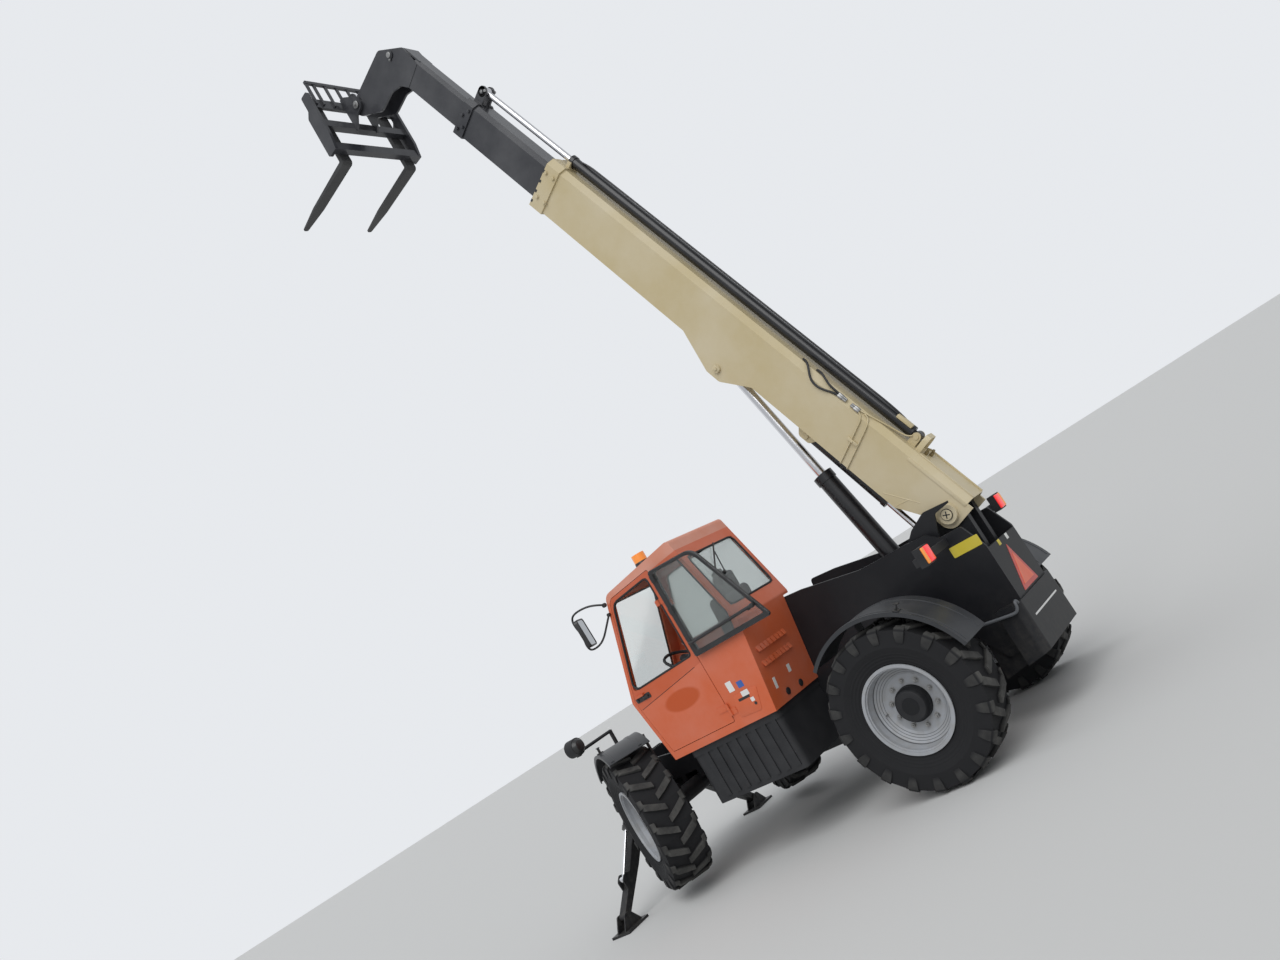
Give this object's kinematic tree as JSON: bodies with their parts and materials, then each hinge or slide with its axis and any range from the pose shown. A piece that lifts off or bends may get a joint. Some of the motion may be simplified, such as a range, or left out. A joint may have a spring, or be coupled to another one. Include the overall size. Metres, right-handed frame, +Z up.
{
  "type": "telescopic handler",
  "caption": "Telescopic handler standing on front stabilisers with its three-section boom raised, pallet forks, a side cab, an engine hood and four steered wheels.",
  "frame": {"origin": "middle of the footprint's length on the ground, on the machine's middle plane", "axes": "+Z up, +X towards the forks, +Y to the machine's left"},
  "size_m": [4.6502, 2.8536, 8.952],
  "materials": {
    "chassis_paint": "satin",
    "boom_paint": "satin",
    "inner_boom_paint": "satin",
    "cab_paint": "satin",
    "fork_steel": "satin",
    "rod_chrome": "polished",
    "rim_paint": "satin",
    "tyre_rubber": "matte",
    "moulding": "matte",
    "window_glass": "clear",
    "seat_cover": "matte",
    "beacon_lens": "gloss",
    "engine_iron": "matte"
  },
  "bodies": {
    "chassis": {"chassis_frame": "chassis_paint", "nose": "chassis_paint", "counterweight": "chassis_paint", "front_axle": "chassis_paint", "rear_axle": "chassis_paint", "fuel_tank": "moulding", "engine_pod": "moulding", "engine_block": "engine_iron", "cab_lower": "cab_paint", "cab_frame": "cab_paint", "cab_roof": "cab_paint", "cab_glass": "window_glass", "upper_door_window": "window_glass", "driver_seat": "seat_cover", "steering_console": "moulding", "mirror": "moulding", "beacon": "beacon_lens", "tail_lamps": "moulding", "headlamps": "moulding"},
    "door": {"cab_door": "cab_paint"},
    "hood": {"hood": "cab_paint"},
    "boom": {"boom_base": "boom_paint", "telescope_barrel": "chassis_paint"},
    "mid": {"boom_mid": "inner_boom_paint", "telescope_rod": "rod_chrome"},
    "tip": {"boom_tip": "inner_boom_paint"},
    "carriage": {"carriage": "inner_boom_paint", "fork_left": "fork_steel", "fork_right": "fork_steel"},
    "lift_barrel": {"lift_barrel": "chassis_paint"},
    "lift_rod": {"lift_rod": "rod_chrome"},
    "level_barrel": {"level_barrel": "chassis_paint"},
    "level_rod": {"level_rod": "rod_chrome"},
    "tilt_barrel": {"tilt_barrel": "chassis_paint"},
    "tilt_rod": {"tilt_rod": "rod_chrome"},
    "leg_left": {"leg_left": "chassis_paint"},
    "leg_barrel_left": {"leg_barrel_left": "chassis_paint"},
    "leg_rod_left": {"leg_rod_left": "rod_chrome"},
    "leg_right": {"leg_right": "chassis_paint"},
    "leg_barrel_right": {"leg_barrel_right": "chassis_paint"},
    "leg_rod_right": {"leg_rod_right": "rod_chrome"},
    "steer_front_left": {"knuckle_front_left": "chassis_paint", "fender_front_left": "moulding"},
    "wheel_front_left": {"rim_front_left": "rim_paint", "tyre_front_left": "tyre_rubber"},
    "steer_front_right": {"knuckle_front_right": "chassis_paint", "fender_front_right": "moulding"},
    "wheel_front_right": {"rim_front_right": "rim_paint", "tyre_front_right": "tyre_rubber"},
    "steer_rear_left": {"knuckle_rear_left": "chassis_paint", "fender_rear_left": "moulding"},
    "wheel_rear_left": {"rim_rear_left": "rim_paint", "tyre_rear_left": "tyre_rubber"},
    "steer_rear_right": {"knuckle_rear_right": "chassis_paint", "fender_rear_right": "moulding"},
    "wheel_rear_right": {"rim_rear_right": "rim_paint", "tyre_rear_right": "tyre_rubber"}
  },
  "joints": [
    {"name": "boom_lift", "type": "hinge", "parent": "chassis", "child": "boom", "pos_m": [-2.1163, 0, 1.61365], "axis": [0, -1, 0], "range_deg": [-73, 0]},
    {"name": "telescope_mid", "type": "slide", "parent": "boom", "child": "mid", "axis": [0.2899, 0, 0.9571], "range_m": [-0.78, 2.87]},
    {"name": "telescope_tip", "type": "slide", "parent": "mid", "child": "tip", "axis": [0.2899, 0, 0.9571], "range_m": [-0.78, 2.87]},
    {"name": "carriage_tilt", "type": "hinge", "parent": "tip", "child": "carriage", "pos_m": [0.67963, 0, 8.49879], "axis": [0, 1, 0], "range_deg": [-85, 30]},
    {"name": "lift_cylinder_turn", "type": "hinge", "parent": "chassis", "child": "lift_barrel", "pos_m": [-1.52761, 0, 1.04633], "axis": [0, -1, 0], "range_deg": [-73.35, 0]},
    {"name": "lift_cylinder_run", "type": "slide", "parent": "lift_barrel", "child": "lift_rod", "axis": [0.1397, 0, 0.9902], "range_m": [-0.97263, 0]},
    {"name": "level_cylinder_turn", "type": "hinge", "parent": "boom", "child": "level_barrel", "pos_m": [-1.44488, 0, 2.76443], "axis": [0, -1, 0], "range_deg": [0, 1.45]},
    {"name": "level_cylinder_run", "type": "slide", "parent": "level_barrel", "child": "level_rod", "axis": [-0.2761, 0, -0.9611], "range_m": [-0.50436, 0]},
    {"name": "tilt_cylinder_turn", "type": "hinge", "parent": "tip", "child": "tilt_barrel", "pos_m": [-0.00522, 0, 8.49725], "axis": [0, 1, 0], "range_deg": [-2.13, 0.75]},
    {"name": "tilt_cylinder_run", "type": "slide", "parent": "tilt_barrel", "child": "tilt_rod", "axis": [0.972, 0, 0.2348], "range_m": [-0.23746, 0.08388]},
    {"name": "door", "type": "hinge", "parent": "chassis", "child": "door", "pos_m": [-0.05504, 1.114, 1.75204], "axis": [-0.0375, 0, 0.9993], "range_deg": [0, 88]},
    {"name": "hood", "type": "hinge", "parent": "chassis", "child": "hood", "pos_m": [-0.05869, -0.358, 1.63583], "axis": [-0.9993, 0, -0.0375], "range_deg": [0, 60]},
    {"name": "leg_left", "type": "hinge", "parent": "chassis", "child": "leg_left", "pos_m": [2.17517, 0.43, 0.77499], "axis": [0.9993, 0, 0.0375], "range_deg": [0, 90]},
    {"name": "leg_cylinder_turn_left", "type": "hinge", "parent": "chassis", "child": "leg_barrel_left", "pos_m": [2.16459, 0.327, 1.05679], "axis": [0.9993, 0, 0.0375], "range_deg": [0, 75.06]},
    {"name": "leg_cylinder_run_left", "type": "slide", "parent": "leg_barrel_left", "child": "leg_rod_left", "axis": [0.0269, 0.6971, -0.7165], "range_m": [-0.37698, 0]},
    {"name": "leg_right", "type": "hinge", "parent": "chassis", "child": "leg_right", "pos_m": [2.17517, -0.43, 0.77499], "axis": [-0.9993, 0, -0.0375], "range_deg": [0, 90]},
    {"name": "leg_cylinder_turn_right", "type": "hinge", "parent": "chassis", "child": "leg_barrel_right", "pos_m": [2.16459, -0.327, 1.05679], "axis": [-0.9993, 0, -0.0375], "range_deg": [0, 75.06]},
    {"name": "leg_cylinder_run_right", "type": "slide", "parent": "leg_barrel_right", "child": "leg_rod_right", "axis": [0.0269, -0.6971, -0.7165], "range_m": [-0.37698, 0]},
    {"name": "steer_front_left", "type": "hinge", "parent": "chassis", "child": "steer_front_left", "pos_m": [1.37629, 0.8, 0.73], "axis": [-0.0375, 0, 0.9993], "range_deg": [-0.5, 69.5]},
    {"name": "spin_front_left", "type": "hinge", "parent": "steer_front_left", "child": "wheel_front_left", "pos_m": [1.46968, 0.93598, 0.7335], "axis": [0.566, 0.8241, 0.0212], "continuous": true},
    {"name": "steer_front_right", "type": "hinge", "parent": "chassis", "child": "steer_front_right", "pos_m": [1.37629, -0.8, 0.73], "axis": [-0.0375, 0, 0.9993], "range_deg": [-0.5, 69.5]},
    {"name": "spin_front_right", "type": "hinge", "parent": "steer_front_right", "child": "wheel_front_right", "pos_m": [1.2829, -0.93598, 0.7265], "axis": [0.566, 0.8241, 0.0212], "continuous": true},
    {"name": "steer_rear_left", "type": "hinge", "parent": "chassis", "child": "steer_rear_left", "pos_m": [-1.42174, 0.8, 0.625], "axis": [-0.0375, 0, 0.9993], "range_deg": [-35, 35]},
    {"name": "spin_rear_left", "type": "hinge", "parent": "steer_rear_left", "child": "wheel_rear_left", "pos_m": [-1.42174, 0.965, 0.625], "axis": [0, 1, 0], "continuous": true},
    {"name": "steer_rear_right", "type": "hinge", "parent": "chassis", "child": "steer_rear_right", "pos_m": [-1.42174, -0.8, 0.625], "axis": [-0.0375, 0, 0.9993], "range_deg": [-35, 35]},
    {"name": "spin_rear_right", "type": "hinge", "parent": "steer_rear_right", "child": "wheel_rear_right", "pos_m": [-1.42174, -0.965, 0.625], "axis": [0, 1, 0], "continuous": true}
  ],
  "couplings": [
    {"joint": "telescope_tip", "follows": "telescope_mid", "ratio": 1},
    {"joint": "lift_cylinder_turn", "follows": "boom_lift", "ratio": 1.0047},
    {"joint": "lift_cylinder_run", "follows": "boom_lift", "m_per_rad": 0.76331},
    {"joint": "level_cylinder_turn", "follows": "boom_lift", "ratio": -0.019763},
    {"joint": "level_cylinder_run", "follows": "boom_lift", "m_per_rad": 0.39578},
    {"joint": "tilt_cylinder_turn", "follows": "carriage_tilt", "ratio": 0.025},
    {"joint": "tilt_cylinder_run", "follows": "carriage_tilt", "m_per_rad": 0.16},
    {"joint": "leg_cylinder_turn_left", "follows": "leg_left", "ratio": 0.83389},
    {"joint": "leg_cylinder_run_left", "follows": "leg_left", "m_per_rad": -0.23993},
    {"joint": "leg_cylinder_turn_right", "follows": "leg_right", "ratio": 0.83389},
    {"joint": "leg_cylinder_run_right", "follows": "leg_right", "m_per_rad": -0.23993},
    {"joint": "steer_front_right", "follows": "steer_front_left", "ratio": 1},
    {"joint": "steer_rear_right", "follows": "steer_rear_left", "ratio": 1}
  ]
}
